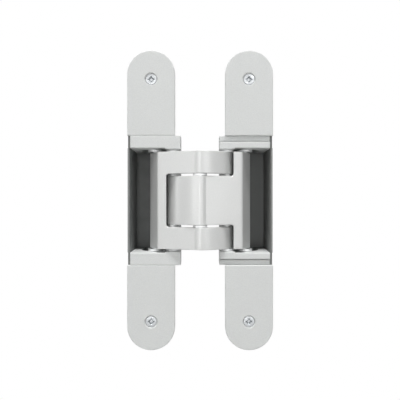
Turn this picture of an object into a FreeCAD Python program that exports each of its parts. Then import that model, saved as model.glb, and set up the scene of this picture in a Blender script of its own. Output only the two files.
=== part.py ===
import FreeCAD, Part
import math
import os
import re
import Sketcher

# Concealed door hinge, open flat, seen from the hinge side of the door.
# Two slim leaves stand upright side by side and two crossing arms join them.
# X runs across both leaves, Y runs into the door and frame, and Z is up along the hinge axis.
# The pieces are drawn about the hinge axis, with the covers' front faces at Y = 0, and then placed
# so that the origin is the middle of the frame leaf, on the face that its flange is seated on.
# The door leaf is on the left (side -1) and the adjustable frame leaf on the right (side +1).
DOOR = -1
FRAME = 1
UPPER = 1
LOWER = -1

# Two lengths in mm, or two volumes in cubic mm, count as the same within this.
SAME = 1e-4

# The guide slot is drawn through the slide pin's places at these shares of the folding, and SHARE_STEP
# before and after a share give the way it runs there. A point of a flank is left out where it lies nearer
# to the path than FOLD_SHARE of the slot's half width, or to the flank's start than START_SHARE of it.
SLOT_STEPS = 12
SLOT_SHARES = [step / SLOT_STEPS for step in range(SLOT_STEPS + 1)]
SHARE_STEP = 0.001
FOLD_SHARE = 0.99
START_SHARE = 0.25

SIZES = [
    ("leaf_width", 32, "width of a leaf and its covers"),
    ("leaf_gap", 33.4, "gap between the covers of the two leaves, hinge open"),
    ("cover_length", 56.75, "length of a cover with its round end"),
    ("cover_thick", 3, "cover thickness"),
    ("cover_edge", 0.6, "rounding of a cover's front edge"),
    ("flange_thick", 8, "thickness of the screwed flange behind a cover"),
    ("flange_inset", 1, "flange edge inside the cover edge"),
    ("case_inset", 2.5, "step of the deep case inside the cover's inner edge"),
    ("case_round", 5, "round upright corners of the deep case"),
    ("back_wall", 1.8, "back wall of the case"),
    ("outer_wall", 1.2, "outer side wall beside the pocket"),
    ("rail_wall", 2, "outer side wall beside the bearing blocks"),
    ("rail_drop", 4.5, "front edge of that wall behind the cover plane"),
    ("wall_drop", 2.4, "front edge of the outer side wall beside the pocket behind the cover plane"),
    ("inner_wall", 1.6, "wall on the side of the hinge axis"),
    ("inner_lead", 4, "outside of that wall in front of the pivot pin, towards the hinge axis"),
    ("sill_drop", 6.5, "front edge of that wall behind the axis of the pivot pin"),
    ("end_wall", 2.5, "end wall of the deep case"),
    ("block_height", 8.25, "height of the open part of a bearing block"),
    ("tongue_height", 5.25, "height of a block's tongue under the cover"),
    ("nose_lead", 5.13, "nose of a bearing block in front of the pivot pin, towards the hinge axis"),
    ("nose_pad", 0.7, "thickness of the raised pad round the pivot pin"),
    ("block_edge", 0.5, "rounding of the front edges of a block"),
    ("tab_width", 11, "width of the clamp tab under a cover"),
    ("tab_thick", 4, "thickness of the clamp tab"),
    ("tab_length", 11.5, "length of the clamp tab beyond the deep case's seat"),
    ("carrier_plate", 4.2, "height of a carrier plate"),
    ("carrier_web", 1.5, "back web of the carrier"),
    ("carrier_gap", 0.5, "adjusting gap between carrier and guide block"),
    ("guide_drop", 2, "front face of a guide block behind the cover plane"),
    ("pivot_inset", 1.5, "pivot pin inside the cover's inner edge"),
    ("pivot_depth", 8.5, "pivot pin behind the cover plane"),
    ("centre_lead", 3.2, "centre pin in front of the cover plane"),
    ("slide_beyond", 12.8, "slide pin beyond the pivot pin across the leaf, hinge open"),
    ("slide_drop", 4.3, "slide pin behind the pivot pin, hinge open"),
    ("closed_gap", 4, "gap between the leaves of the closed hinge"),
    ("arm_half", 32.5, "half height of the arms"),
    ("finger_half", 16.2, "half height of the middle finger"),
    ("finger_gap", 1.6, "gap between the fingers"),
    ("arm_thick", 5, "arm plate thickness"),
    ("arm_slope", 16.9, "slope of the flat front of an arm, degrees"),
    ("arm_front", 4.25, "flat front of an arm from the centre pin"),
    ("bend_lead", 2.7, "bend of an arm before its slide pin"),
    ("bend_round", 3, "outer rounding of that bend"),
    ("elbow_round", 2, "inner rounding of that bend"),
    ("window_gap", 0.25, "clearance of the fork's window round the tee arm's knuckle"),
    ("window_round", 2, "corner rounding of the fork's window and the tee's shoulders"),
    ("bow_radius", 28, "front radius of the bowed half of an arm"),
    ("arm_edge", 0.4, "rounding of the top and bottom edges of an arm"),
    ("centre_knuckle", 5, "radius of the centre knuckles"),
    ("pivot_knuckle", 4.2, "radius of the pivot knuckles"),
    ("slide_barrel", 3.6, "radius of the barrel that carries the slide pins"),
    ("centre_pin", 3, "centre pin radius"),
    ("pivot_pin", 2.5, "pivot pin radius"),
    ("slide_pin", 2.2, "slide pin radius"),
    ("running_gap", 0.05, "radial clearance of a pin in its bush"),
    ("centre_bush_wall", 0.75, "wall of a centre bush"),
    ("pivot_bush_wall", 0.55, "wall of a pivot bush"),
    ("bush_length", 12, "length of a bush in the tee arm"),
    ("pin_chamfer", 0.3, "chamfer at the ends of a pin"),
    ("side_gap", 0.2, "end clearance beside a moving arm"),
    ("centre_washer", 4.6, "radius of a washer on the centre pin"),
    ("pivot_washer", 4.7, "radius of a washer on a pivot pin"),
    ("washer_thick", 1.6, "thickness of a washer on a pivot pin"),
    ("spacer_radius", 4, "radius of a spacer sleeve"),
    ("disc_radius", 5, "radius of a slide disc"),
    ("disc_thick", 1.4, "thickness of a slide disc"),
    ("slot_gap", 0.2, "clearance of a slide pin in its guide slot, each side"),
    ("pocket_clear", 0.4, "clearance behind the slide discs, hinge closed"),
    ("slide_grip", 12, "length of a slide pin inside the arm"),
    ("cover_screw", 19, "cover screw from the end of the leaf"),
    ("fixing_end", 8, "outer fixing hole from the end of the leaf"),
    ("fixing_hole", 2.75, "fixing hole radius"),
    ("fixing_sink", 5.2, "countersink radius of a fixing hole"),
    ("screw_head", 4.2, "screw head radius"),
    ("screw_rim", 0.3, "straight rim of the head's recess"),
    ("screw_land", 0.45, "cover left under the countersink of its screw"),
    ("head_gap", 0.2, "clearance round a screw head"),
    ("screw_shank", 2, "screw shank radius"),
    ("shank_gap", 0.15, "clearance round the shank in a cover or tab"),
    ("screw_length", 7.5, "screw length with its head"),
    ("cross_length", 5, "cross recess, tip to tip"),
    ("cross_width", 1.1, "width of a wing of the cross recess"),
    ("cross_depth", 1.4, "depth of the cross recess"),
    ("adjuster_wall", 0.3, "wall between an adjusting screw and the end of its block"),
    ("adjuster_length", 16, "length of an adjusting screw"),
    ("adjuster_inset", 5, "adjusting screw from the side of its block"),
    ("socket_width", 2.5, "hexagon socket across its flats"),
    ("socket_depth", 2, "depth of the hexagon socket"),
]

# Sizes that follow from the ones above: first the places across the leaf, then the heights from the
# middle outwards, and then the two arms and the depth that they need when the hinge is closed.
# span is the length of an arm from its pivot pin to the centre pin. bow_x and bow_y are the
# centre of the bowed half's arcs, and foot, bend, tip, elbow and heel are the corners of the flat half.
FOLLOWING = [
    ("inner_edge", "leaf_gap / 2"),
    ("outer_edge", "leaf_gap / 2 + leaf_width"),
    ("leaf_centre", "(leaf_gap + leaf_width) / 2"),
    ("pivot_offset", "inner_edge + pivot_inset"),
    ("slide_offset", "pivot_offset + slide_beyond"),
    ("slide_depth", "pivot_depth + slide_drop"),
    ("arm_reach", "slide_offset - bend_lead"),
    ("tee_bar", "pivot_offset + pivot_knuckle"),
    ("fork_window", "tee_bar + window_gap"),
    ("inner_reach", "pivot_offset - inner_lead"),
    ("nose_reach", "pivot_offset - nose_lead"),
    ("sill_depth", "pivot_depth + sill_drop"),
    ("seat_inner", "inner_edge + case_inset + inner_wall"),
    ("seat_outer", "outer_edge - rail_wall"),
    ("washer_low", "arm_half + side_gap"),
    ("arm_seat", "washer_low + washer_thick"),
    ("pocket_half", "arm_seat + nose_pad"),
    ("disc_seat", "pocket_half - side_gap"),
    ("plate_end", "pocket_half + carrier_plate"),
    ("guide_low", "plate_end + carrier_gap"),
    ("pin_end", "plate_end - side_gap"),
    ("middle_half", "pocket_half + block_height"),
    ("seat_half", "middle_half + tongue_height"),
    ("case_half", "seat_half + end_wall"),
    ("tab_end", "seat_half + tab_length"),
    ("clamp_place", "tab_end - tab_width / 2"),
    ("leaf_half", "middle_half + cover_length"),
    ("screw_place", "leaf_half - cover_screw"),
    ("fixing_far", "leaf_half - fixing_end"),
    ("fixing_near", "(tab_end + screw_place) / 2"),
    ("adjuster_place", "(middle_half + seat_half) / 2"),
    ("adjuster_radius", "tongue_height / 2 - adjuster_wall"),
    ("gap_top", "finger_half + finger_gap"),
    ("pivot_bush", "pivot_pin + running_gap + pivot_bush_wall"),
    ("centre_bush", "centre_pin + running_gap + centre_bush_wall"),
    ("head_recess", "screw_head + head_gap"),
    ("shank_hole", "screw_shank + shank_gap"),
    ("sink_depth", "cover_thick - screw_land"),
    ("sink_slope", "(sink_depth - screw_rim) / (head_recess - shank_hole)"),
    ("head_edge", "screw_rim + head_gap * sink_slope"),
    ("head_depth", "screw_rim + (head_recess - screw_shank) * sink_slope"),
    ("span", "sqrt(pivot_offset ^ 2 + (pivot_depth + centre_lead) ^ 2)"),
    ("open_angle", "atan2(pivot_depth + centre_lead; pivot_offset)"),
    ("closed_angle", "asin((pivot_depth + closed_gap / 2) / span)"),
    ("arm_turn", "180 deg - open_angle - closed_angle"),
    ("leaf_turn", "open_angle + closed_angle"),
    ("pivot_rise", "pivot_offset * sin(arm_turn) + (pivot_depth + centre_lead) * cos(arm_turn)"),
    ("slide_fall", "slide_offset * sin(leaf_turn) + (slide_depth + centre_lead) * cos(leaf_turn)"),
    ("closed_depth", "pivot_depth - pivot_rise + slide_fall"),
    ("web_depth", "closed_depth + disc_radius + pocket_clear"),
    ("case_floor", "web_depth + carrier_web"),
    ("case_depth", "case_floor + back_wall"),
    ("bow_inner", "bow_radius - arm_thick"),
    ("bow_from_centre", "bow_radius - centre_knuckle"),
    ("bow_from_pivot", "bow_radius - pivot_knuckle"),
    ("bow_along", "(bow_from_centre ^ 2 - bow_from_pivot ^ 2 + span ^ 2) / (2 * span)"),
    ("bow_across", "sqrt(bow_from_centre ^ 2 - bow_along ^ 2)"),
    ("bow_x", "-bow_along * cos(open_angle) + bow_across * sin(open_angle)"),
    ("bow_y", "-centre_lead + bow_along * sin(open_angle) + bow_across * cos(open_angle)"),
    ("foot_x", "arm_front * sin(arm_slope)"),
    ("foot_y", "-centre_lead - arm_front * cos(arm_slope)"),
    ("bend_y", "foot_y + (arm_reach - foot_x) * tan(arm_slope)"),
    ("barrel_far", "sqrt((slide_offset - arm_reach) ^ 2 + (slide_depth - bend_y) ^ 2)"),
    ("leg_slope", "atan2(slide_depth - bend_y; slide_offset - arm_reach) - asin(slide_barrel / barrel_far)"),
    ("leg_length", "sqrt(barrel_far ^ 2 - slide_barrel ^ 2)"),
    ("tip_x", "arm_reach + leg_length * cos(leg_slope)"),
    ("tip_y", "bend_y + leg_length * sin(leg_slope)"),
    ("root_x", "tip_x - arm_thick * sin(leg_slope)"),
    ("root_y", "tip_y + arm_thick * cos(leg_slope)"),
    ("mitre", "arm_thick / (1 + cos(leg_slope - arm_slope * 1 deg))"),
    ("elbow_x", "arm_reach - mitre * (sin(arm_slope) + sin(leg_slope))"),
    ("elbow_y", "bend_y + mitre * (cos(arm_slope) + cos(leg_slope))"),
    ("heel_x", "foot_x - arm_thick * sin(arm_slope)"),
    ("heel_y", "foot_y + arm_thick * cos(arm_slope)"),
]

doc = FreeCAD.newDocument("ConcealedHinge")
sheet = doc.addObject("Spreadsheet::Sheet", "Sizes")
for row, (alias, size, note) in enumerate(SIZES, start=1):
    sheet.set("A%d" % row, alias)
    sheet.set("B%d" % row, str(size))
    sheet.set("C%d" % row, note)
    sheet.setAlias("B%d" % row, alias)
for row, (alias, formula) in enumerate(FOLLOWING, start=len(SIZES) + 1):
    sheet.set("A%d" % row, alias)
    sheet.set("B%d" % row, "=" + formula)
    sheet.setAlias("B%d" % row, alias)
doc.recompute()

ALIASES = {row[0] for row in SIZES} | {row[0] for row in FOLLOWING}


def bound(formula):
    """A formula in the sheet's words, with each of them pointing at the sheet."""
    return re.sub(r"[a-z_]+", lambda word: "Sizes." + word[0] if word[0] in ALIASES else word[0], formula)


def number(formula):
    """What a formula comes to now."""
    return float(sheet.evalExpression(bound(formula)))


def signed(sign, formula):
    """The formula, or its mirror image where the sign is negative."""
    return formula if sign > 0 else "-(%s)" % formula


def new_body(label):
    body = doc.addObject("PartDesign::Body", label)
    body.Label = label
    return body


def new_sketch(body, plane, offset):
    sketch = body.newObject("Sketcher::SketchObject", "Outline")
    role = plane + "_Plane"
    base = [feature for feature in body.Origin.OriginFeatures if feature.Role == role][0]
    sketch.AttachmentSupport = [(base, "")]
    sketch.MapMode = "FlatFace"
    sketch.setExpression("AttachmentOffset.Base.z", bound(offset))
    return sketch


def front_sketch(body, depth):
    """A sketch seen from the front: X and Z, at a depth behind the cover plane."""
    return new_sketch(body, "XZ", "-(%s)" % depth)


def plan_sketch(body, height):
    """A sketch seen from above: X and Y, at a height."""
    return new_sketch(body, "XY", height)


def fix_point(sketch, geometry, end, x, y):
    for kind, formula in (("DistanceX", x), ("DistanceY", y)):
        constraint = Sketcher.Constraint(kind, -1, 1, geometry, end, number(formula))
        index = sketch.addConstraint(constraint)
        sketch.setExpression("Constraints[%d]" % index, bound(formula))


def arc_between(start, end, radius, turn):
    """The short arc between two points. turn is +1 where it runs to the left and -1 to the right."""
    middle = (start + end) / 2
    half = (end - start) / 2
    rise = math.sqrt(max(radius ** 2 - half.Length ** 2, 0))
    across = FreeCAD.Vector(-half.y, half.x, 0).normalize()
    centre = middle + across * rise * turn
    first, last = (start, end) if turn > 0 else (end, start)
    angles = [math.atan2(point.y - centre.y, point.x - centre.x) for point in (first, last)]
    circle = Part.Circle(centre, FreeCAD.Vector(0, 0, 1), radius)
    return Part.ArcOfCircle(circle, angles[0], angles[1])


def outline(sketch, points, mirror=1):
    """A closed outline. A point is x and y, and a radius and a turn where an arc leaves it."""
    corners = []
    for point in points:
        x = signed(mirror, point[0])
        corners.append((x, point[1], *point[2:]))
    places = [FreeCAD.Vector(number(corner[0]), number(corner[1]), 0) for corner in corners]
    first = sketch.GeometryCount
    ends = []
    for index, corner in enumerate(corners):
        start = places[index]
        end = places[(index + 1) % len(places)]
        if len(corner) == 2:
            sketch.addGeometry(Part.LineSegment(start, end), False)
            ends.append((1, 2))
        else:
            turn = corner[3] * mirror
            sketch.addGeometry(arc_between(start, end, number(corner[2]), turn), False)
            ends.append((1, 2) if turn > 0 else (2, 1))
    for index, corner in enumerate(corners):
        after = (index + 1) % len(corners)
        join = Sketcher.Constraint("Coincident", first + index, ends[index][1], first + after, ends[after][0])
        sketch.addConstraint(join)
    for index, corner in enumerate(corners):
        fix_point(sketch, first + index, ends[index][0], corner[0], corner[1])
        if len(corner) > 2:
            radius = Sketcher.Constraint("Radius", first + index, number(corner[2]))
            place = sketch.addConstraint(radius)
            sketch.setExpression("Constraints[%d]" % place, bound(corner[2]))


def rectangle(sketch, left, right, low, high, mirror=1):
    outline(sketch, [(left, low), (right, low), (right, high), (left, high)], mirror)


def circle(sketch, x, y, radius):
    shape = Part.Circle(FreeCAD.Vector(number(x), number(y), 0), FreeCAD.Vector(0, 0, 1), number(radius))
    index = sketch.addGeometry(shape, False)
    fix_point(sketch, index, 3, x, y)
    place = sketch.addConstraint(Sketcher.Constraint("Radius", index, number(radius)))
    sketch.setExpression("Constraints[%d]" % place, bound(radius))


def pad(body, sketch, length, reverse=False, symmetric=False):
    feature = body.newObject("PartDesign::Pad", "Pad")
    feature.Profile = sketch
    feature.setExpression("Length", bound(length))
    feature.Reversed = reverse
    if symmetric:
        feature.SideType = "Symmetric"
    return feature


def pocket(body, sketch, length, reverse=False, symmetric=False):
    doc.recompute()
    before = body.Shape.Volume
    feature = body.newObject("PartDesign::Pocket", "Pocket")
    feature.Profile = sketch
    feature.setExpression("Length", bound(length))
    feature.Reversed = reverse
    if symmetric:
        feature.SideType = "Symmetric"
    doc.recompute()
    if body.Shape.Volume > before - SAME:
        raise RuntimeError("%s: a pocket cuts nothing" % body.Label)
    return feature


def soften(body, kind, size, wanted):
    """Fillets or chamfers the edges of the body so far that pass the test."""
    doc.recompute()
    base = body.Tip
    names = ["Edge%d" % n for n, edge in enumerate(base.Shape.Edges, start=1) if wanted(edge)]
    if not names:
        raise RuntimeError("%s: no edge to soften" % body.Label)
    feature = body.newObject("PartDesign::" + kind, kind)
    feature.Base = (base, names)
    feature.setExpression("Radius" if kind == "Fillet" else "Size", bound(size))
    return feature


def near(value, target):
    return abs(value - target) < SAME


def middle_of(edge):
    return edge.valueAt((edge.FirstParameter + edge.LastParameter) / 2)


def lies_at_depth(edge, depth):
    return near(edge.BoundBox.YMin, depth) and near(edge.BoundBox.YMax, depth)


def is_circle(edge, radius):
    return isinstance(edge.Curve, Part.Circle) and near(edge.Curve.Radius, radius)


def runs_along_depth(edge, x, z):
    box = edge.BoundBox
    return near(box.XLength, 0) and near(box.ZLength, 0) and near(box.XMin, x) and near(box.ZMin, z)


def round_end(sketch, side, tier, inset, start, end):
    """A leaf outline from a straight start to a half-round end, drawn as two quarter arcs."""
    left = "inner_edge + " + inset
    right = "outer_edge - " + inset
    shoulder = signed(tier, "(%s) - leaf_width / 2 + %s" % (end, inset))
    radius = "leaf_width / 2 - " + inset
    points = [
        (left, signed(tier, start)),
        (right, signed(tier, start)),
        (right, shoulder, radius, tier),
        ("leaf_centre", signed(tier, end), radius, tier),
        (left, shoulder),
    ]
    outline(sketch, points, side)


def make_casing(label, side):
    """Die-cast case: a flange with round ends, and a deep case with pocket, block seats and rails."""
    body = new_body(label)
    flange = front_sketch(body, "cover_thick")
    end = "leaf_half - flange_inset"
    for tier in (UPPER, LOWER):
        round_end(flange, side, tier, "flange_inset", "middle_half - flange_thick", end)
    case = front_sketch(body, "0")
    rectangle(case, "inner_reach", "outer_edge", "-middle_half", "middle_half", side)
    pad(body, case, "case_depth", reverse=True)
    pad(body, flange, "flange_thick", reverse=True)
    ends = front_sketch(body, "cover_thick")
    rectangle(ends, "inner_edge + case_inset", "outer_edge", "-case_half", "case_half", side)
    pad(body, ends, "case_depth - cover_thick", reverse=True)
    corners = [(number(signed(side, x)), tier * number("case_half"))
               for x in ("inner_edge + case_inset", "outer_edge") for tier in (UPPER, LOWER)]
    soften(body, "Fillet", "case_round",
           lambda edge: any(runs_along_depth(edge, x, z) for x, z in corners))

    arm_pocket = front_sketch(body, "0")
    rectangle(arm_pocket, "inner_reach + inner_wall", "outer_edge - outer_wall",
              "-pocket_half", "pocket_half", side)
    pocket(body, arm_pocket, "case_floor")
    seats = front_sketch(body, "0")
    rectangle(seats, "seat_inner", "seat_outer", "-seat_half", "seat_half", side)
    pocket(body, seats, "case_floor")
    sill = front_sketch(body, "0")
    rectangle(sill, "inner_reach - inner_wall", "seat_inner", "-middle_half", "middle_half", side)
    pocket(body, sill, "sill_depth")
    rails = front_sketch(body, "0")
    for tier in (UPPER, LOWER):
        low, high = signed(tier, "pocket_half"), signed(tier, "middle_half")
        rectangle(rails, "seat_outer", "outer_edge + rail_wall", low, high, side)
    pocket(body, rails, "rail_drop")
    wall = front_sketch(body, "0")
    rectangle(wall, "seat_outer", "outer_edge + rail_wall", "-pocket_half", "pocket_half", side)
    pocket(body, wall, "wall_drop")
    tabs = front_sketch(body, "cover_thick")
    rectangle(tabs, "leaf_centre - tab_width / 2", "leaf_centre + tab_width / 2", "-tab_end", "tab_end", side)
    pocket(body, tabs, "tab_thick")

    threads = front_sketch(body, "cover_thick")
    fixings = front_sketch(body, "cover_thick")
    for tier in (UPPER, LOWER):
        x = signed(side, "leaf_centre")
        circle(threads, x, signed(tier, "screw_place"), "screw_shank")
        circle(threads, x, signed(tier, "clamp_place"), "screw_shank")
        circle(fixings, x, signed(tier, "fixing_near"), "fixing_hole")
        circle(fixings, x, signed(tier, "fixing_far"), "fixing_hole")
    pocket(body, threads, "flange_thick")
    pocket(body, fixings, "flange_thick")
    soften(body, "Chamfer", "fixing_sink - fixing_hole",
           lambda edge: is_circle(edge, number("fixing_hole")) and lies_at_depth(edge, number("cover_thick")))
    return body


def add_nose(body, side, tier, front, low, high):
    """The nose that carries the pivot pin: it reaches past the cover and stands on the case's sill."""
    nose = front_sketch(body, front)
    rectangle(nose, "nose_reach", "seat_inner", signed(tier, low), signed(tier, high), side)
    pad(body, nose, "sill_depth - (%s)" % front, reverse=True)


def add_pivot_pad(body, side, tier):
    raised = front_sketch(body, "0")
    rectangle(raised, "nose_reach", "pivot_offset + nose_lead",
              signed(tier, "arm_seat"), signed(tier, "pocket_half"), side)
    pad(body, raised, "sill_depth", reverse=True)


def add_pivot_bore(body, side, tier, end):
    bore = plan_sketch(body, signed(tier, "arm_seat"))
    circle(bore, signed(side, "pivot_offset"), "pivot_depth", "pivot_pin")
    pocket(body, bore, end + " - arm_seat", reverse=tier > 0)


def add_tab(body, side, tier):
    """The clamp tab under the cover, with its countersunk screw hole."""
    tab = front_sketch(body, "cover_thick")
    rectangle(tab, "leaf_centre - tab_width / 2", "leaf_centre + tab_width / 2",
              signed(tier, "seat_half"), signed(tier, "tab_end"), side)
    pad(body, tab, "tab_thick", reverse=True)
    add_screw_hole(body, side, signed(tier, "clamp_place"), "cover_thick", "tab_thick")


def screw_plane(body, side, height):
    """A plan sketch whose own Y axis is the axis of a screw on the leaf's centre-line."""
    sketch = plan_sketch(body, height)
    sketch.setExpression("AttachmentOffset.Base.x", bound(signed(side, "leaf_centre")))
    return sketch


def add_screw_hole(body, side, height, front, length):
    """A countersunk hole for a screw, with a short straight rim round its head."""
    profile = screw_plane(body, side, height)
    points = [
        ("0", front),
        ("head_recess", front),
        ("head_recess", front + " + screw_rim"),
        ("shank_hole", front + " + sink_depth"),
        ("shank_hole", front + " + " + length),
        ("0", front + " + " + length),
    ]
    outline(profile, points)
    hole = body.newObject("PartDesign::Groove", "Groove")
    hole.Profile = profile
    hole.ReferenceAxis = (profile, ["V_Axis"])
    hole.Angle = 360


def round_front(body, depth):
    """Rounds the straight edges of the block's visible front face."""
    doc.recompute()
    limit = number("middle_half") + SAME
    soften(body, "Fillet", "block_edge",
           lambda edge: lies_at_depth(edge, number(depth)) and abs(middle_of(edge).z) < limit
           and isinstance(edge.Curve, Part.Line))


def make_slot_tool(label, side):
    """The curved guide slot: the path of a slide pin in its leaf while the hinge folds.

    The inner flank leaves out the points where the tight first bend would fold it back.
    """
    pivot = FreeCAD.Vector(number("pivot_offset"), number("pivot_depth"), 0)
    centre = FreeCAD.Vector(0, -number("centre_lead"), 0)
    slide = FreeCAD.Vector(number("slide_offset"), number("slide_depth"), 0)
    arm_turn = number("arm_turn")
    leaf_turn = number("leaf_turn")
    axis = FreeCAD.Vector(0, 0, 1)
    reach = number("slide_pin + slot_gap")

    def slide_at(share):
        turned = FreeCAD.Rotation(axis, share * arm_turn)
        moved = FreeCAD.Rotation(axis, share * leaf_turn)
        return pivot + turned.multVec(centre - pivot) + moved.multVec(slide - centre)

    def way_at(share):
        return (slide_at(share + SHARE_STEP) - slide_at(share - SHARE_STEP)).normalize()

    def beside(share, sign):
        way = way_at(share)
        return slide_at(share) + FreeCAD.Vector(-way.y, way.x, 0) * reach * sign

    def beyond(share, sign):
        return slide_at(share) + way_at(share) * reach * sign

    flip = FreeCAD.Matrix()
    flip.scale(side, 1, 1)
    flanks = []
    for sign in (1, -1):
        points = [beside(0, sign)]
        for share in SLOT_SHARES[1:-1]:
            point = beside(share, sign)
            clear = min(point.distanceToPoint(slide_at(other)) for other in SLOT_SHARES)
            if clear > FOLD_SHARE * reach and point.distanceToPoint(points[0]) > START_SHARE * reach:
                points.append(point)
        points.append(beside(1, sign))
        curve = Part.BSplineCurve()
        curve.interpolate([flip.multVec(point) for point in points])
        flanks.append(curve.toShape())
    caps = []
    for share, sign in ((0, -1), (1, 1)):
        points = (beside(share, 1), beyond(share, sign), beside(share, -1))
        caps.append(Part.Arc(*[flip.multVec(point) for point in points]).toShape())
    wire = Part.Wire(Part.__sortEdges__(flanks + caps))
    top = number("plate_end + side_gap")
    face = Part.Face(wire)
    face.translate(FreeCAD.Vector(0, 0, -top))
    tool = doc.addObject("Part::Feature", label)
    tool.Label = label
    tool.Shape = face.extrude(FreeCAD.Vector(0, 0, 2 * top))
    return tool


def cut(label, base, tool):
    result = doc.addObject("Part::Cut", label)
    result.Base = base
    result.Tool = tool
    result.Label = label
    return result


def make_door_block(label, tier, slot):
    """Bearing block of the door leaf, flush with the covers, with a tongue under the cover."""
    side = DOOR
    body = new_body(label + "_body")
    main = front_sketch(body, "0")
    rectangle(main, "seat_inner", "seat_outer", signed(tier, "pocket_half"), signed(tier, "middle_half"), side)
    pad(body, main, "case_floor", reverse=True)
    add_nose(body, side, tier, "0", "pocket_half", "middle_half")
    add_pivot_pad(body, side, tier)
    round_front(body, "0")
    tongue = front_sketch(body, "cover_thick")
    rectangle(tongue, "seat_inner", "seat_outer", signed(tier, "middle_half"), signed(tier, "seat_half"), side)
    pad(body, tongue, "case_floor - cover_thick", reverse=True)
    add_tab(body, side, tier)
    add_pivot_bore(body, side, tier, "pin_end")
    return cut(label, body, slot)


def make_carrier(label, slot):
    """Adjustable carrier of the frame leaf: two bearing plates joined by a back web."""
    side = FRAME
    body = new_body(label + "_body")
    plates = front_sketch(body, "0")
    for tier in (UPPER, LOWER):
        low, high = signed(tier, "pocket_half"), signed(tier, "plate_end")
        rectangle(plates, "seat_inner", "seat_outer", low, high, side)
    web = front_sketch(body, "web_depth")
    rectangle(web, "seat_inner", "seat_outer", "-plate_end", "plate_end", side)
    pad(body, web, "carrier_web", reverse=True)
    pad(body, plates, "case_floor", reverse=True)
    for tier in (UPPER, LOWER):
        add_nose(body, side, tier, "0", "pocket_half", "plate_end")
        add_pivot_pad(body, side, tier)
    round_front(body, "0")
    for tier in (UPPER, LOWER):
        add_pivot_bore(body, side, tier, "plate_end")
    return cut(label, body, slot)


ADJUSTER_PLACES = ("seat_inner + adjuster_inset", "seat_outer - adjuster_inset")


def make_guide_block(label, tier):
    """Fixed guide block of the frame leaf, set back behind the covers beside the carrier."""
    side = FRAME
    body = new_body(label)
    main = front_sketch(body, "guide_drop")
    rectangle(main, "seat_inner", "seat_outer", signed(tier, "guide_low"), signed(tier, "middle_half"), side)
    pad(body, main, "case_floor - guide_drop", reverse=True)
    add_nose(body, side, tier, "guide_drop", "guide_low", "middle_half")
    round_front(body, "guide_drop")
    tongue = front_sketch(body, "cover_thick")
    rectangle(tongue, "seat_inner", "seat_outer", signed(tier, "middle_half"), signed(tier, "seat_half"), side)
    pad(body, tongue, "case_floor - cover_thick", reverse=True)
    add_tab(body, side, tier)
    bores = front_sketch(body, "cover_thick")
    for x in ADJUSTER_PLACES:
        circle(bores, x, signed(tier, "adjuster_place"), "adjuster_radius")
    pocket(body, bores, "adjuster_length")
    return body


def make_cover(label, side, tier):
    """Flat cover with one round end, softened front edges and a countersunk screw hole."""
    body = new_body(label)
    plate = front_sketch(body, "0")
    round_end(plate, side, tier, "0", "middle_half", "leaf_half")
    pad(body, plate, "cover_thick", reverse=True)
    soften(body, "Fillet", "cover_edge", lambda edge: lies_at_depth(edge, 0))
    add_screw_hole(body, side, signed(tier, "screw_place"), "0", "cover_thick")
    return body


def on_bow(end_x, end_y, far, radius):
    """The point at a radius of the bow's arcs, on the line from their centre through a pin."""
    share = "(%s) / %s" % (radius, far)
    return "bow_x + (%s - bow_x) * %s" % (end_x, share), "bow_y + (%s - bow_y) * %s" % (end_y, share)


def make_arm_blank(label, side):
    """An arm without window or bores: a flat leg that ends in the slide barrel, and a bowed leg."""
    body = new_body(label)
    leg = plan_sketch(body, "0")
    points = [
        ("foot_x", "foot_y"),
        ("arm_reach", "bend_y"),
        ("tip_x", "tip_y"),
        ("root_x", "root_y"),
        ("elbow_x", "elbow_y"),
        ("heel_x", "heel_y"),
    ]
    outline(leg, points, side)
    pad(body, leg, "2 * arm_half", symmetric=True)
    for corner, radius in ((("arm_reach", "bend_y"), "bend_round"), (("elbow_x", "elbow_y"), "elbow_round")):
        x, y = number(signed(side, corner[0])), number(corner[1])
        soften(body, "Fillet", radius, lambda edge: runs_upright(edge, x, y))
    bow = plan_sketch(body, "0")
    centre = ("0", "-centre_lead", "bow_from_centre")
    pivot = ("-pivot_offset", "pivot_depth", "bow_from_pivot")
    points = [
        (*on_bow(*centre, "bow_radius"), "bow_radius", -1),
        on_bow(*pivot, "bow_radius"),
        (*on_bow(*pivot, "bow_inner"), "bow_inner", 1),
        on_bow(*centre, "bow_inner"),
    ]
    outline(bow, points, side)
    pad(body, bow, "2 * arm_half", symmetric=True)
    knuckles = (
        ("0", "-centre_lead", "centre_knuckle"),
        ("-pivot_offset", "pivot_depth", "pivot_knuckle"),
        ("slide_offset", "slide_depth", "slide_barrel"),
    )
    for x, y, radius in knuckles:
        knuckle = plan_sketch(body, "0")
        circle(knuckle, signed(side, x), y, radius)
        pad(body, knuckle, "2 * arm_half", symmetric=True)
    return body


def runs_upright(edge, x, y):
    box = edge.BoundBox
    return near(box.XLength, 0) and near(box.YLength, 0) and near(box.XMin, x) and near(box.YMin, y)


def add_arm_bores(body, side, centre_radius):
    """The centre and pivot bores run right through, and the slide pins sit in blind bores."""
    bores = (
        ("0", "-centre_lead", centre_radius),
        ("-pivot_offset", "pivot_depth", "pivot_bush"),
    )
    for x, y, radius in bores:
        bore = plan_sketch(body, "0")
        circle(bore, signed(side, x), y, radius)
        pocket(body, bore, "4 * arm_half", symmetric=True)
    for tier in (UPPER, LOWER):
        bore = plan_sketch(body, signed(tier, "arm_half"))
        circle(bore, signed(side, "slide_offset"), "slide_depth", "slide_pin")
        pocket(body, bore, "slide_grip", reverse=tier < 0)


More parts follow.
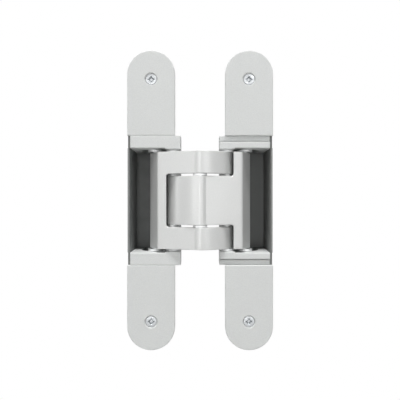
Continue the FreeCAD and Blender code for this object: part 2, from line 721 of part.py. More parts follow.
def soften_front(body, ends):
    """Rounds the front edges at the ends of an arm and of its fingers.

    Each end is a height and the way from it into the arm: -1 towards the middle and +1 away from it.
    """
    doc.recompute()
    solid = body.Shape
    step = number("arm_edge / 4")

    def on_front(edge):
        box = edge.BoundBox
        if edge.isClosed() or not near(box.ZLength, 0):
            return False
        middle = middle_of(edge)
        for height, inward in ends:
            if near(abs(middle.z), number(height)):
                before = FreeCAD.Vector(0, -step, math.copysign(step, middle.z) * inward)
                return not solid.isInside(middle + before, 0, True)
        return False

    soften(body, "Fillet", "arm_edge", on_front)


def make_fork_arm(label):
    """The fork arm: its bowed half is two fingers, above and below the tee arm's finger."""
    side = DOOR
    body = make_arm_blank(label, side)
    window = front_sketch(body, "0")
    points = [
        ("-slide_offset", "-gap_top"),
        ("fork_window - window_round", "-gap_top", "window_round", 1),
        ("fork_window", "window_round - gap_top"),
        ("fork_window", "gap_top - window_round", "window_round", 1),
        ("fork_window - window_round", "gap_top"),
        ("-slide_offset", "gap_top"),
    ]
    outline(window, points, side)
    pocket(body, window, "2 * case_depth", symmetric=True)
    add_arm_bores(body, side, "centre_pin")
    soften_front(body, (("arm_half", -1), ("gap_top", 1)))
    return body


def make_tee_arm(label):
    """The tee arm: a tall bar at the slide barrel and one broad finger in the middle."""
    side = FRAME
    body = make_arm_blank(label, side)
    shoulders = front_sketch(body, "0")
    for tier in (UPPER, LOWER):
        top = signed(tier, "arm_half + finger_gap")
        points = [
            ("-slide_offset", signed(tier, "finger_half")),
            ("tee_bar - window_round", signed(tier, "finger_half"), "window_round", tier),
            ("tee_bar", signed(tier, "finger_half + window_round")),
            ("tee_bar", top),
            ("-slide_offset", top),
        ]
        outline(shoulders, points, side)
    pocket(body, shoulders, "2 * case_depth", symmetric=True)
    add_arm_bores(body, side, "centre_bush")
    soften_front(body, (("arm_half", -1), ("finger_half", -1)))
    return body


def make_rings(label, spans, x, y, outer, inner):
    """Rings of one kind on one pin. A span is where a ring starts and ends along the pin."""
    body = new_body(label)
    for low, high in spans:
        ring = plan_sketch(body, low)
        circle(ring, x, y, outer)
        circle(ring, x, y, inner)
        pad(body, ring, "(%s) - (%s)" % (high, low))
    return body


def make_pins(label, spans, x, y, radius):
    """Plain pins with chamfered ends."""
    body = new_body(label)
    for low, high in spans:
        pin = plan_sketch(body, low)
        circle(pin, x, y, radius)
        pad(body, pin, "(%s) - (%s)" % (high, low))
    soften(body, "Chamfer", "pin_chamfer", lambda edge: is_circle(edge, number(radius)))
    return body


def both_ways(low, high):
    """The same span above and below the middle of the hinge."""
    return [(low, high), ("-(%s)" % high, "-(%s)" % low)]


def make_screws(label, side, height, front):
    """Two countersunk screws with cross recesses, one above and one below the middle."""
    body = new_body(label)
    for tier in (UPPER, LOWER):
        profile = screw_plane(body, side, signed(tier, height))
        points = [
            ("0", front),
            ("screw_head", front),
            ("screw_head", front + " + head_edge"),
            ("screw_shank", front + " + head_depth"),
            ("screw_shank", front + " + screw_length"),
            ("0", front + " + screw_length"),
        ]
        outline(profile, points)
        turned = body.newObject("PartDesign::Revolution", "Revolution")
        turned.Profile = profile
        turned.ReferenceAxis = (profile, ["V_Axis"])
        turned.Angle = 360
    for tier in (UPPER, LOWER):
        middle = signed(tier, height)
        for wide, tall in (("cross_length", "cross_width"), ("cross_width", "cross_length")):
            wing = front_sketch(body, front)
            rectangle(wing, "leaf_centre - %s / 2" % wide, "leaf_centre + %s / 2" % wide,
                      "%s - %s / 2" % (middle, tall), "%s + %s / 2" % (middle, tall), side)
            pocket(body, wing, "cross_depth")
    return body


def make_adjusters(label):
    """The frame leaf's adjusting screws, with hexagon sockets, two in each guide block."""
    body = new_body(label)
    corner = "socket_width / sqrt(3)"
    for tier in (UPPER, LOWER):
        for x in ADJUSTER_PLACES:
            z = signed(tier, "adjuster_place")
            shank = front_sketch(body, "cover_thick")
            circle(shank, x, z, "adjuster_radius")
            pad(body, shank, "adjuster_length", reverse=True)
            socket = front_sketch(body, "cover_thick")
            points = [("%s + %s * cos(%d)" % (x, corner, turn), "%s + %s * sin(%d)" % (z, corner, turn))
                      for turn in range(0, 360, 60)]
            outline(socket, points)
            pocket(body, socket, "socket_depth")
    return body


def make_leaf(name, side):
    """The pieces that a leaf has on either side: case, covers, screws, pivot pin and washers."""
    pieces = [make_casing(name + "_casing", side)]
    for tier, word in ((UPPER, "upper"), (LOWER, "lower")):
        pieces.append(make_cover("%s_cover_%s" % (name, word), side, tier))
    pieces.append(make_screws(name + "_cover_screws", side, "screw_place", "0"))
    pieces.append(make_screws(name + "_clamp_screws", side, "clamp_place", "cover_thick"))
    x = signed(side, "pivot_offset")
    pieces.append(make_pins(name + "_pivot_pin", [("-pin_end", "pin_end")], x, "pivot_depth", "pivot_pin"))
    washers = both_ways("washer_low", "arm_seat")
    pieces.append(make_rings(name + "_pivot_washers", washers, x, "pivot_depth", "pivot_washer", "pivot_pin"))
    return pieces


def make_slide(name, side):
    """The slide pins and discs at the ends of an arm's barrel."""
    x = signed(side, "slide_offset")
    pins = both_ways("arm_half - slide_grip", "pin_end")
    discs = both_ways("disc_seat - disc_thick", "disc_seat")
    return [
        make_pins(name + "_slide_pins", pins, x, "slide_depth", "slide_pin"),
        make_rings(name + "_slide_discs", discs, x, "slide_depth", "disc_radius", "slide_pin"),
    ]


def build():
    door_x = signed(DOOR, "pivot_offset")
    frame_x = signed(FRAME, "pivot_offset")
    door_slot = make_slot_tool("door_slot_path", DOOR)
    frame_slot = make_slot_tool("frame_slot_path", FRAME)
    nodes = make_leaf("door", DOOR)
    nodes += [
        make_door_block("door_block_upper", UPPER, door_slot),
        make_door_block("door_block_lower", LOWER, door_slot),
        make_rings("door_pivot_spacers", both_ways("finger_half + side_gap", "washer_low"),
                   door_x, "pivot_depth", "spacer_radius", "pivot_pin"),
    ]
    nodes += make_leaf("frame", FRAME)
    nodes += [
        make_carrier("frame_carrier", frame_slot),
        make_guide_block("frame_guide_block_upper", UPPER),
        make_guide_block("frame_guide_block_lower", LOWER),
        make_adjusters("frame_adjusting_screws"),
        make_rings("frame_pivot_spacer", [("side_gap - gap_top", "gap_top - side_gap")],
                   frame_x, "pivot_depth", "spacer_radius", "pivot_pin"),
    ]
    nodes += [
        make_fork_arm("fork_arm"),
        make_rings("fork_pivot_bushes", both_ways("gap_top", "arm_half"),
                   frame_x, "pivot_depth", "pivot_bush", "pivot_pin + running_gap"),
        make_pins("centre_pin", [("-arm_half", "arm_half")], "0", "-centre_lead", "centre_pin"),
        make_rings("centre_washers", both_ways("finger_half + side_gap", "gap_top - side_gap"),
                   "0", "-centre_lead", "centre_washer", "centre_pin"),
    ]
    nodes += make_slide("fork", DOOR)
    nodes += [
        make_tee_arm("tee_arm"),
        make_rings("tee_centre_bushes", both_ways("finger_half - bush_length", "finger_half"),
                   "0", "-centre_lead", "centre_bush", "centre_pin + running_gap"),
        make_rings("tee_pivot_bushes", both_ways("finger_half - bush_length", "finger_half"),
                   door_x, "pivot_depth", "pivot_bush", "pivot_pin + running_gap"),
    ]
    nodes += make_slide("tee", FRAME)
    return nodes


nodes = build()
for node in nodes:
    node.setExpression("Placement.Base.x", bound("-leaf_centre"))
    node.setExpression("Placement.Base.y", bound("-cover_thick - flange_thick"))
doc.recompute()
for item in doc.Objects:
    if "Invalid" in item.State or "Error" in item.State:
        raise RuntimeError("%s is not built: %s" % (item.Label, item.State))
for node in nodes:
    if node.Shape.isNull() or not node.Shape.isValid():
        raise RuntimeError("%s has no valid shape" % node.Label)

os.makedirs("parts", exist_ok=True)
for node in nodes:
    node.Shape.exportStep("parts/%s.step" % node.Label)
    solids = len(node.Shape.Solids)
    print("%-28s %d solid(s) %10.1f mm3" % (node.Label, solids, node.Shape.Volume))
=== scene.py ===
"""Looks of a concealed door hinge, open flat: two round-ended leaves and the crossing arms between them."""

import math

import bmesh
import bpy
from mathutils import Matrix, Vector


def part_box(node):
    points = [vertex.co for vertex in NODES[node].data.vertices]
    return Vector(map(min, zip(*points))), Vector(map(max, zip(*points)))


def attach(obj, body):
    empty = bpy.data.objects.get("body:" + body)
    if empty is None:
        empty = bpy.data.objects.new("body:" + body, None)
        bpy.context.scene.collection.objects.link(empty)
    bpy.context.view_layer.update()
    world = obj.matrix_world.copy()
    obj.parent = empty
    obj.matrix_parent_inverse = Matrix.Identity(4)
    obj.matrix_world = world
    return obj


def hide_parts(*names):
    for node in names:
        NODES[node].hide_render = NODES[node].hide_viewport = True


bl_info = {
    "name": "Concealed Door Hinge",
    "version": (1, 0, 0),
    "blender": (4, 5, 0),
    "location": "3D Viewport > Sidebar > Hinge",
    "description": "Dresses a concealed door hinge in lacquer, cast metal and steel, and lights it",
    "category": "Object",
}

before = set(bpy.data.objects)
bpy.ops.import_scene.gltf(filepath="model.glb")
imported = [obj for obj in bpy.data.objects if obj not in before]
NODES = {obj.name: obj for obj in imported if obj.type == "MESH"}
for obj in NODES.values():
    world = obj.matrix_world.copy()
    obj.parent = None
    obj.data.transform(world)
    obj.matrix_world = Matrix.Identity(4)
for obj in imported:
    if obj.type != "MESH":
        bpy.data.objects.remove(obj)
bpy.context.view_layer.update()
MM = 0.001
ACROSS = Vector((1, 0, 0))
DEPTH = Vector((0, 1, 0))
UP = Vector((0, 0, 1))
RING_STEPS = 64
SHARP_EDGE = math.radians(35)

# Depth behind the covers' front where the lacquer's colour starts to turn to the darker casting colour, and
# where it has turned wholly: painted shade deep in the pocket, standing also for casting that the sprayed
# lacquer does not reach.
POCKET_SHADE_START = 22 * MM
POCKET_SHADE_FULL = 38 * MM

# The paper sweep in metres: the floor's reach before and behind the hinge, the top, half the width and
# the bend between floor and backdrop.
SWEEP_REACH = 1.6
SWEEP_TOP = 1.8
SWEEP_SIDE = 1.8
SWEEP_BEND = 0.6

# The lamps' distance from the hinge and the side of a square soft box, in metres.
LAMP_AWAY = 2.0
SOFT_BOX = 0.5


def middle_of(node):
    low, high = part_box(node)
    return (low + high) / 2


HINGE_AXIS = middle_of("centre_pin").x
COVER_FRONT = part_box("frame_cover_upper")[0].y
SCREW_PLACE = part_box("frame_cover_screws")[1].z - (
    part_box("frame_cover_screws")[1].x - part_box("frame_cover_screws")[0].x) / 2


def linear(code):
    """An sRGB hex colour as the linear numbers that Blender's sockets take."""
    values = [int(code[place:place + 2], 16) / 255 for place in (1, 3, 5)]
    return tuple(v / 12.92 if v <= 0.04045 else ((v + 0.055) / 1.055) ** 2.4 for v in values) + (1.0,)


def pattern_scale(size_mm):
    """The scale at which a noise pattern's features are about this size in millimetres."""
    return 1 / (size_mm * MM)


def shade_of(tint, share):
    """A colour made darker or lighter by a share."""
    return tuple(min(v * share, 1.0) for v in tint[:3]) + (1.0,)


def length(name, description, default):
    return bpy.props.FloatProperty(name=name, description=description, default=default * MM,
                                   min=0.0, unit="LENGTH", precision=5)


def power(name, description, default):
    return bpy.props.FloatProperty(name=name, description=description, default=default,
                                   min=0.0, unit="POWER")


def colour(name, description, code):
    return bpy.props.FloatVectorProperty(name=name, description=description, default=linear(code),
                                         size=4, min=0.0, max=1.0, subtype="COLOR")


class HingeSizes(bpy.types.PropertyGroup):
    """Sizes of the pieces that are modelled here."""

    head_radius: length("Screw head", "Radius of a cover screw's flat head", 3.6)
    head_sunk: length("Head sunk", "Head below the front of its cover", 0.6)
    head_edge: length("Head edge", "Rounded edge of the head", 0.2)
    shank_radius: length("Screw shank", "Radius of the shank", 2.0)
    screw_length: length("Screw length", "Front of the cover to the end of the screw", 7.5)
    recess_reach: length("Recess reach", "Middle of the head to the tip of a wing of the cross recess", 2.5)
    recess_depth: length("Recess depth", "Depth of the cross recess", 1.6)
    recess_point: bpy.props.FloatProperty(
        name="Recess point", default=2.4, min=1.0,
        description="How far the wings are drawn to points: 2 is a plain diamond, 3 a slender star")


class HingeColours(bpy.types.PropertyGroup):
    """Colours of the finishes, as sRGB."""

    lacquer: colour("Cover lacquer", "Satin silver lacquer of covers and bearing blocks", "#E1E3E2")
    arm_lacquer: colour("Arm lacquer", "Smoother satin silver lacquer of the two arms", "#D8D9D8")
    # Deep inside the carrier's pocket this colour also stands for painted shade.
    casting: colour("Zinc casting", "Bare zinc casting of the cases and deep inside the carrier", "#868887")
    steel: colour("Ground steel", "Pins", "#C9CBCB")
    tumbled: colour("Tumbled steel", "Washers, spacers and discs", "#F0F1F1")
    plating: colour("Zinc plating", "Screws", "#C6C9CB")
    bronze: colour("Bronze", "Plain bearing bushes", "#A98A55")
    paper: colour("Paper", "Floor and backdrop", "#F4F4F2")


class HingeStage(bpy.types.PropertyGroup):
    """Camera and light."""

    distance: length("Camera distance", "Camera to the covers' front plane", 320)
    aside: length("Camera aside", "Camera left of the hinge's axis", 0.07)
    above: length("Camera above", "Camera above the hinge's middle", 0.27)
    lens: bpy.props.FloatProperty(name="Lens", description="Focal length", default=43.2,
                                  min=1.0, unit="CAMERA")
    floor_drop: length("Floor", "Floor below the middle of the hinge", 800)
    overhead: power("Overhead", "Box above the hinge", 31.0)
    upper: power("Upper left", "Box at the upper left; the one at the upper right has 0.6 of it", 8.0)
    strip: power("Strip", "Narrow upright box beside the camera", 3.0)
    fill: power("Fill", "Each of the two low boxes beside the camera", 1.9)
    ambient: bpy.props.FloatProperty(name="Ambient", description="Level of the room's light", default=0.1,
                                     min=0.0)


def add(tree, kind, inputs=None, **settings):
    """Adds a node with its settings, and fills its sockets with values or with other nodes' outputs."""
    node = tree.nodes.new(kind)
    for name, value in settings.items():
        setattr(node, name, value)
    for name, value in (inputs or {}).items():
        socket = node.inputs[name]
        if isinstance(value, bpy.types.NodeSocket):
            tree.links.new(value, socket)
        else:
            socket.default_value = value
    return node


def new_material(name):
    """A material with its tree, its shader and the coordinates of the piece."""
    material = bpy.data.materials.new(name)
    material.use_nodes = True
    tree = material.node_tree
    shader = tree.nodes["Principled BSDF"]
    place = tree.nodes.new("ShaderNodeTexCoord").outputs["Object"]
    return material, tree, shader, place


def seen_directly(tree):
    """One for rays from the camera, off gloss or through glass, and nought for the light on the hinge."""
    path = tree.nodes.new("ShaderNodeLightPath").outputs
    seen = add(tree, "ShaderNodeMath", {0: path["Is Camera Ray"], 1: path["Is Glossy Ray"]},
               operation="MAXIMUM")
    shown = add(tree, "ShaderNodeMath", {0: seen.outputs[0], 1: path["Is Transmission Ray"]},
                operation="MAXIMUM")
    return shown.outputs[0]


def paint(material, *nodes):
    for name in nodes:
        mesh = NODES[name].data
        mesh.materials.clear()
        mesh.materials.append(material)


def satin_lacquer(name, tint, casting, metallic, roughness, grain_mm, peel_mm):
    """Silver lacquer sprayed on a zinc die casting: fine flake that glints softly, and a faint orange peel.

    The flake of such a lacquer is far finer than a pixel, so it is drawn as coarse as grain_mm.
    Deep inside the pocket the colour turns to the darker casting colour: this is painted shade, and stands
    also for the bare casting that the spray, coming from the front, leaves there.
    """
    material, tree, shader, place = new_material(name)
    flake = add(tree, "ShaderNodeTexNoise", {"Vector": place, "Scale": pattern_scale(grain_mm),
                                             "Detail": 3.0})
    cloud = add(tree, "ShaderNodeTexNoise", {"Vector": place, "Scale": pattern_scale(14), "Detail": 2.0})
    shade = add(tree, "ShaderNodeMapRange", {"Value": flake.outputs["Fac"], "From Min": 0.3,
                                             "From Max": 0.7})
    sprayed = add(tree, "ShaderNodeMix", {0: shade.outputs["Result"], 6: shade_of(tint, 0.93),
                                          7: shade_of(tint, 1.04)}, data_type="RGBA")
    axes = add(tree, "ShaderNodeSeparateXYZ", {"Vector": place})
    # Painted shade: the further behind the covers' front, the more the colour turns to the darker casting
    # colour.
    pocket_shade = add(tree, "ShaderNodeMapRange", {"Value": axes.outputs["Y"], "From Min": COVER_FRONT + POCKET_SHADE_START,
                                            "From Max": COVER_FRONT + POCKET_SHADE_FULL})
    base = add(tree, "ShaderNodeMix", {0: pocket_shade.outputs["Result"], 6: sprayed.outputs[2], 7: tuple(casting)},
               data_type="RGBA")
    tree.links.new(base.outputs[2], shader.inputs["Base Color"])
    rough = add(tree, "ShaderNodeMapRange", {"Value": cloud.outputs["Fac"], "From Min": 0.3, "From Max": 0.7,
                                             "To Min": roughness - 0.02, "To Max": roughness + 0.03})
    tree.links.new(rough.outputs["Result"], shader.inputs["Roughness"])
    peel = add(tree, "ShaderNodeTexNoise", {"Vector": place, "Scale": pattern_scale(peel_mm), "Detail": 2.0})
    bump = add(tree, "ShaderNodeBump", {"Height": peel.outputs["Fac"], "Strength": 0.25,
                                        "Distance": 0.02 * MM})
    tree.links.new(bump.outputs["Normal"], shader.inputs["Normal"])
    shader.inputs["Metallic"].default_value = metallic
    return material


def cast_zinc(name, tint):
    """Bare zinc die casting: grey and matt, slightly grainy from the mould, with faint cloudy patches."""
    material, tree, shader, place = new_material(name)
    skin = add(tree, "ShaderNodeTexNoise", {"Vector": place, "Scale": pattern_scale(0.7), "Detail": 5.0})
    patch = add(tree, "ShaderNodeTexNoise", {"Vector": place, "Scale": pattern_scale(9), "Detail": 3.0})
    base = add(tree, "ShaderNodeMix", {0: patch.outputs["Fac"], 6: shade_of(tint, 0.8),
                                       7: shade_of(tint, 1.15)}, data_type="RGBA")
    tree.links.new(base.outputs[2], shader.inputs["Base Color"])
    rough = add(tree, "ShaderNodeMapRange", {"Value": skin.outputs["Fac"], "To Min": 0.5, "To Max": 0.66})
    tree.links.new(rough.outputs["Result"], shader.inputs["Roughness"])
    bump = add(tree, "ShaderNodeBump", {"Height": skin.outputs["Fac"], "Strength": 0.4,
                                        "Distance": 0.03 * MM})
    tree.links.new(bump.outputs["Normal"], shader.inputs["Normal"])
    shader.inputs["Metallic"].default_value = 0.2
    return material


def bare_metal(name, tint, roughness, line_mm, along):
    """Bare metal with the fine marks of its making, which are lines where along names an axis."""
    material, tree, shader, place = new_material(name)
    stretch = tuple(0.06 if along[axis] else 1.0 for axis in range(3))
    lines_at = add(tree, "ShaderNodeMapping", {"Vector": place, "Scale": stretch})
    lines = add(tree, "ShaderNodeTexNoise", {"Vector": lines_at.outputs["Vector"],
                                             "Scale": pattern_scale(line_mm), "Detail": 3.0})
    base = add(tree, "ShaderNodeMix", {0: lines.outputs["Fac"], 6: shade_of(tint, 0.85), 7: tuple(tint)},
               data_type="RGBA")
    tree.links.new(base.outputs[2], shader.inputs["Base Color"])
    rough = add(tree, "ShaderNodeMapRange", {"Value": lines.outputs["Fac"], "To Min": roughness - 0.06,
                                             "To Max": roughness + 0.08})
    tree.links.new(rough.outputs["Result"], shader.inputs["Roughness"])
    bump = add(tree, "ShaderNodeBump", {"Height": lines.outputs["Fac"], "Strength": 0.2,
                                        "Distance": 0.01 * MM})
    tree.links.new(bump.outputs["Normal"], shader.inputs["Normal"])
    shader.inputs["Metallic"].default_value = 1.0
    return material


def finish_piece(shape, name, body, material, replaced):
    """Turns a bmesh into a piece that rides on its body and stands for a CAD node."""
    bmesh.ops.remove_doubles(shape, verts=shape.verts, dist=0.001 * MM)
    bmesh.ops.recalc_face_normals(shape, faces=shape.faces)
    mesh = bpy.data.meshes.new(name)
    shape.to_mesh(mesh)
    shape.free()
    mesh.shade_smooth()
    mesh.set_sharp_from_angle(angle=SHARP_EDGE)
    mesh.materials.append(material)
    piece = bpy.data.objects.new(name, mesh)
    bpy.context.scene.collection.objects.link(piece)
    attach(piece, body)
    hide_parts(replaced)
    return piece


def closed_ring(shape, points):
    """A closed ring of vertices and edges through some points."""
    vertices = [shape.verts.new(point) for point in points]
    edges = [shape.edges.new(pair) for pair in zip(vertices, vertices[1:] + vertices[:1])]
    return vertices, edges


def add_rings(shape, rings):
    """Joins rings of points one after the other, and returns the vertices of the last."""
    before = rings[0]
    for points in rings[1:]:
        vertices, edges = closed_ring(shape, points)
        bmesh.ops.bridge_loops(shape, edges=before[1] + edges)
        before = (vertices, edges)
    return before[0]


class HINGE_OT_covers(bpy.types.Operator):
    """The four covers and the bearing blocks: silver lacquer on zinc castings"""

    bl_idname = "hinge.covers"
    bl_label = "Covers and blocks"

    def execute(self, context):
        colours = context.scene.hinge_colours
        cover = satin_lacquer("satin_silver_lacquer_covers", colours.lacquer, colours.casting,
                              0.0, 0.5, 0.35, 1.4)
        paint(cover, "frame_cover_upper", "frame_cover_lower", "door_cover_upper", "door_cover_lower")
        block = satin_lacquer("satin_silver_lacquer_blocks", colours.lacquer, colours.casting,
                              0.0, 0.5, 0.35, 1.1)
        # Deep in the pocket the carrier's web turns to the casting colour: painted shade.
        paint(block, "door_block_upper", "door_block_lower", "frame_carrier",
              "frame_guide_block_upper", "frame_guide_block_lower")
        return {"FINISHED"}


class HINGE_OT_arms(bpy.types.Operator):
    """The fork and the tee arm: a smoother silver lacquer with a little more shine"""

    bl_idname = "hinge.arms"
    bl_label = "Arms"

    def execute(self, context):
        colours = context.scene.hinge_colours
        paint(satin_lacquer("satin_silver_lacquer_arms", colours.arm_lacquer, colours.casting,
                            0.28, 0.32, 0.3, 1.8),
              "fork_arm", "tee_arm")
        return {"FINISHED"}


class HINGE_OT_cases(bpy.types.Operator):
    """The two cases: bare zinc castings"""

    bl_idname = "hinge.cases"
    bl_label = "Cases"

    def execute(self, context):
        paint(cast_zinc("bare_zinc_casting", context.scene.hinge_colours.casting),
              "frame_casing", "door_casing")
        return {"FINISHED"}


class HINGE_OT_pins(bpy.types.Operator):
    """Pins of ground steel, washers and discs of tumbled steel, and bronze bushes"""

    bl_idname = "hinge.pins"
    bl_label = "Pins and bushes"

    def execute(self, context):
        colours = context.scene.hinge_colours
        # Ground steel is bright, with fine lines along the pin that draw its highlights out.
        steel = bare_metal("ground_bearing_steel", colours.steel, 0.3, 0.25, (0, 0, 1))
        paint(steel, "frame_pivot_pin", "door_pivot_pin", "centre_pin", "fork_slide_pins", "tee_slide_pins")
        # Tumbling leaves steel pale and dull, with no lines.
        tumbled = bare_metal("tumbled_steel_discs", colours.tumbled, 0.6, 0.5, (0, 0, 0))
        paint(tumbled, "frame_pivot_washers", "door_pivot_washers", "centre_washers", "frame_pivot_spacer",
              "door_pivot_spacers", "fork_slide_discs", "tee_slide_discs")
        # Sintered bronze is warm, dull and finely mottled.
        bronze = bare_metal("sintered_bronze", colours.bronze, 0.45, 0.4, (0, 0, 0))
        paint(bronze, "fork_pivot_bushes", "tee_centre_bushes", "tee_pivot_bushes")
        return {"FINISHED"}


class HINGE_OT_cover_screws(bpy.types.Operator):
    """The four flat cross-head screws that hold the covers, each sunk a little into its countersink"""

    bl_idname = "hinge.cover_screws"
    bl_label = "Cover screws"

    def execute(self, context):
        # Zinc plating is pale and half bright, with a faint mottle.
        plating = bare_metal("zinc_plated_steel", context.scene.hinge_colours.plating, 0.38, 0.5, (0, 0, 0))
        for leaf, body in (("door", "door_leaf"), ("frame", "frame_leaf")):
            shape = bmesh.new()
            for tier in (1, -1):
                self.add_screw(shape, context.scene.hinge_sizes, middle_of(leaf + "_cover_screws").x,
                               tier * SCREW_PLACE)
            finish_piece(shape, leaf + "_cross_head_screws", body, plating, leaf + "_cover_screws")
        return {"FINISHED"}

    def add_screw(self, shape, sizes, x, z):
        """One screw: rings out from the recess's mouth to the shank's end, and in to the recess's floor."""
        centre = Vector((x, COVER_FRONT + sizes.head_sunk, z))
        turns = [math.tau * step / RING_STEPS for step in range(RING_STEPS)]

        def round_ring(radius, depth):
            return [centre + radius * (math.cos(turn) * ACROSS + math.sin(turn) * UP) + depth * DEPTH
                    for turn in turns]

        def star_ring(share, depth):
            """The cross recess: a diamond whose sides are drawn in, so that its wings end in points."""
            points = []
            for turn in turns:
                across, up = math.cos(turn), math.sin(turn)
                reach_x = math.copysign(abs(across) ** sizes.recess_point, across)
                reach_z = math.copysign(abs(up) ** sizes.recess_point, up)
                spot = share * sizes.recess_reach * (reach_x * ACROSS + reach_z * UP)
                points.append(centre + spot + depth * DEPTH)
            return points

        edge, radius, shank = sizes.head_edge, sizes.head_radius, sizes.shank_radius
        neck = edge + radius - shank
        mouth = closed_ring(shape, star_ring(1.05, 0))
        end = add_rings(shape, [
            mouth,
            round_ring(radius - edge, 0),
            round_ring(radius - 0.3 * edge, 0.3 * edge),
            round_ring(radius, edge),
            round_ring(shank, neck),
            round_ring(shank, sizes.screw_length - sizes.head_sunk),
        ])
        shape.faces.new(end)
        floor = add_rings(shape, [
            mouth,
            star_ring(1.0, 0.05 * sizes.recess_depth),
            star_ring(0.66, 0.6 * sizes.recess_depth),
            star_ring(0.5, sizes.recess_depth),
        ])
        shape.faces.new(floor)


class HINGE_OT_hidden_screws(bpy.types.Operator):
    """Clamp screws under the covers and the adjusting screws, zinc plated"""

    bl_idname = "hinge.hidden_screws"
    bl_label = "Clamp and adjusting screws"

    def execute(self, context):
        # The same plating, a little duller on the screws that the covers hide.
        plating = bare_metal("zinc_plated_steel_hidden", context.scene.hinge_colours.plating, 0.4, 0.5,
                             (0, 0, 0))
        paint(plating, "frame_clamp_screws", "door_clamp_screws", "frame_adjusting_screws",
              "frame_cover_screws", "door_cover_screws")
        return {"FINISHED"}


class HINGE_OT_stage(bpy.types.Operator):
    """Paper sweep, lamps, room light and the camera at the photograph's place"""

    bl_idname = "hinge.stage"
    bl_label = "Stage"

    def execute(self, context):
        scene = context.scene
        stage = scene.hinge_stage
        self.make_sweep(scene)
        self.make_lamp(scene, "overhead", 6, 72, 0.58, 0.27, stage.overhead)
        self.make_lamp(scene, "upper_left", -60, 30, SOFT_BOX, SOFT_BOX, stage.upper)
        self.make_lamp(scene, "upper_right", 30, 30, SOFT_BOX, SOFT_BOX, stage.upper * 0.6)
        self.make_lamp(scene, "front_strip", -3, 0, 0.13, 0.58, stage.strip)
        self.make_lamp(scene, "left_front", -26, 3, SOFT_BOX, SOFT_BOX, stage.fill)
        self.make_lamp(scene, "right_front", 30, 3, SOFT_BOX, SOFT_BOX, stage.fill)
        self.make_lamp(scene, "left_side", -85, 5, SOFT_BOX, SOFT_BOX, stage.fill * 0.5)
        self.make_lamp(scene, "left_back", -145, 25, SOFT_BOX, SOFT_BOX, stage.fill * 1.5)
        self.make_lamp(scene, "right_back", 145, 25, SOFT_BOX, SOFT_BOX, stage.fill * 1.5)
        self.light_room(scene, stage.ambient)
        camera = bpy.data.cameras.new("photograph_camera")
        camera.sensor_width = 36.0
        camera.lens = stage.lens
        camera.clip_start = 0.01
        viewer = bpy.data.objects.new("photograph_camera", camera)
        viewer.location = (HINGE_AXIS - stage.aside, COVER_FRONT - stage.distance, stage.above)
        viewer.rotation_euler = (math.radians(90), 0, 0)
        scene.collection.objects.link(viewer)
        scene.camera = viewer
        scene.view_settings.view_transform = "Standard"
        return {"FINISHED"}

    def make_sweep(self, scene):
        """A floor that turns up into a backdrop, as photographers' paper does."""
        drop = scene.hinge_stage.floor_drop
        shape = bmesh.new()
        ends = [(-SWEEP_REACH, -drop), (SWEEP_REACH, -drop), (SWEEP_REACH, SWEEP_TOP)]
        profile = [shape.verts.new((HINGE_AXIS - SWEEP_SIDE, y, z)) for y, z in ends]
        edges = [shape.edges.new(pair) for pair in zip(profile, profile[1:])]
        wall = bmesh.ops.extrude_edge_only(shape, edges=edges)["geom"]
        moved = [part for part in wall if isinstance(part, bmesh.types.BMVert)]
        bmesh.ops.translate(shape, vec=ACROSS * 2 * SWEEP_SIDE, verts=moved)
        corner = [edge for edge in shape.edges
                  if all(abs(vertex.co.y - SWEEP_REACH) < MM and abs(vertex.co.z + drop) < MM
                         for vertex in edge.verts)]
        bmesh.ops.bevel(shape, geom=corner, offset=SWEEP_BEND, segments=16, profile=0.5, affect="EDGES",
                        material=-1)
        mesh = bpy.data.meshes.new("paper_sweep")
        shape.to_mesh(mesh)
        shape.free()
        mesh.shade_smooth()
        sweep = bpy.data.objects.new("paper_sweep", mesh)
        scene.collection.objects.link(sweep)
        mesh.materials.append(self.paper(scene.hinge_colours.paper))

    def paper(self, tint):
        """White paper: plain below the hinge, where it keeps the shadow, and pure white further off."""
        material, tree, shader, place = new_material("white_paper")
        shader.inputs["Base Color"].default_value = tint
        shader.inputs["Roughness"].default_value = 0.9
        grain = add(tree, "ShaderNodeTexNoise", {"Vector": place, "Scale": pattern_scale(2), "Detail": 3.0})
        bump = add(tree, "ShaderNodeBump", {"Height": grain.outputs["Fac"], "Strength": 0.05,
                                            "Distance": 0.1 * MM})
        tree.links.new(bump.outputs["Normal"], shader.inputs["Normal"])
        foot = add(tree, "ShaderNodeMapping", {"Vector": place, "Location": (-HINGE_AXIS, 0, 0),
                                               "Scale": (1, 1, 0)})
        away = add(tree, "ShaderNodeVectorMath", {0: foot.outputs["Vector"]}, operation="LENGTH")
        far = add(tree, "ShaderNodeMapRange", {"Value": away.outputs["Value"], "From Min": 0.15,
                                               "From Max": 0.4})
        share = add(tree, "ShaderNodeMath", {0: seen_directly(tree), 1: far.outputs["Result"]},
                    operation="MULTIPLY")
        white = add(tree, "ShaderNodeEmission", {"Color": (1, 1, 1, 1), "Strength": 1.0})
        mixed = add(tree, "ShaderNodeMixShader", {0: share.outputs[0], 1: shader.outputs["BSDF"],
                                                  2: white.outputs["Emission"]})
        tree.links.new(mixed.outputs[0], tree.nodes["Material Output"].inputs["Surface"])
        return material

    def make_lamp(self, scene, name, azimuth, elevation, width, height, watts):
        """A soft box that points at the hinge; azimuth 0 is in front of it and 90 on its right."""
        turn, lift = math.radians(azimuth), math.radians(elevation)
        away = Vector((math.sin(turn) * math.cos(lift), -math.cos(turn) * math.cos(lift), math.sin(lift)))
        lamp = bpy.data.lights.new(name, "AREA")
        lamp.shape = "RECTANGLE"
        lamp.size = width
        lamp.size_y = height
        lamp.energy = watts
        box = bpy.data.objects.new(name, lamp)
        box.location = Vector((HINGE_AXIS, COVER_FRONT, 0)) + LAMP_AWAY * away
        box.rotation_euler = (-away).to_track_quat("-Z", "Y").to_euler()
        scene.collection.objects.link(box)

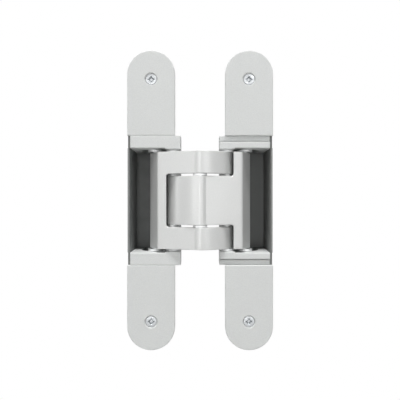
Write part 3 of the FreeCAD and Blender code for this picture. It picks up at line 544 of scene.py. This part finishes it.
    def light_room(self, scene, level):
        """A dim room that shows as white where the camera, metal or glass looks past the paper."""
        world = bpy.data.worlds.new("room")
        scene.world = world
        world.use_nodes = True
        tree = world.node_tree
        room = tree.nodes["Background"]
        room.inputs["Color"].default_value = (1, 1, 1, 1)
        strength = add(tree, "ShaderNodeMapRange", {"Value": seen_directly(tree), "To Min": level,
                                                    "To Max": 1.0})
        tree.links.new(strength.outputs["Result"], room.inputs["Strength"])


class HINGE_PT_panel(bpy.types.Panel):
    """Lists the hinge's pieces in the sidebar"""

    bl_label = "Concealed hinge"
    bl_idname = "HINGE_PT_panel"
    bl_space_type = "VIEW_3D"
    bl_region_type = "UI"
    bl_category = "Hinge"

    def draw(self, context):
        for operator in OPERATORS:
            self.layout.operator(operator.bl_idname)
        for group in (context.scene.hinge_sizes, context.scene.hinge_colours, context.scene.hinge_stage):
            column = self.layout.column()
            for name in group.__annotations__:
                column.prop(group, name)


GROUPS = (HingeSizes, HingeColours, HingeStage)
OPERATORS = (
    HINGE_OT_covers,
    HINGE_OT_arms,
    HINGE_OT_cases,
    HINGE_OT_pins,
    HINGE_OT_cover_screws,
    HINGE_OT_hidden_screws,
    HINGE_OT_stage,
)


def register():
    for cls in GROUPS + OPERATORS + (HINGE_PT_panel,):
        bpy.utils.register_class(cls)
    bpy.types.Scene.hinge_sizes = bpy.props.PointerProperty(type=HingeSizes)
    bpy.types.Scene.hinge_colours = bpy.props.PointerProperty(type=HingeColours)
    bpy.types.Scene.hinge_stage = bpy.props.PointerProperty(type=HingeStage)


def unregister():
    del bpy.types.Scene.hinge_stage
    del bpy.types.Scene.hinge_colours
    del bpy.types.Scene.hinge_sizes
    for cls in reversed(GROUPS + OPERATORS + (HINGE_PT_panel,)):
        bpy.utils.unregister_class(cls)


def main():
    register()
    bpy.ops.hinge.covers()
    bpy.ops.hinge.arms()
    bpy.ops.hinge.cases()
    bpy.ops.hinge.pins()
    bpy.ops.hinge.cover_screws()
    bpy.ops.hinge.hidden_screws()
    bpy.ops.hinge.stage()


if __name__ == "__main__":
    main()
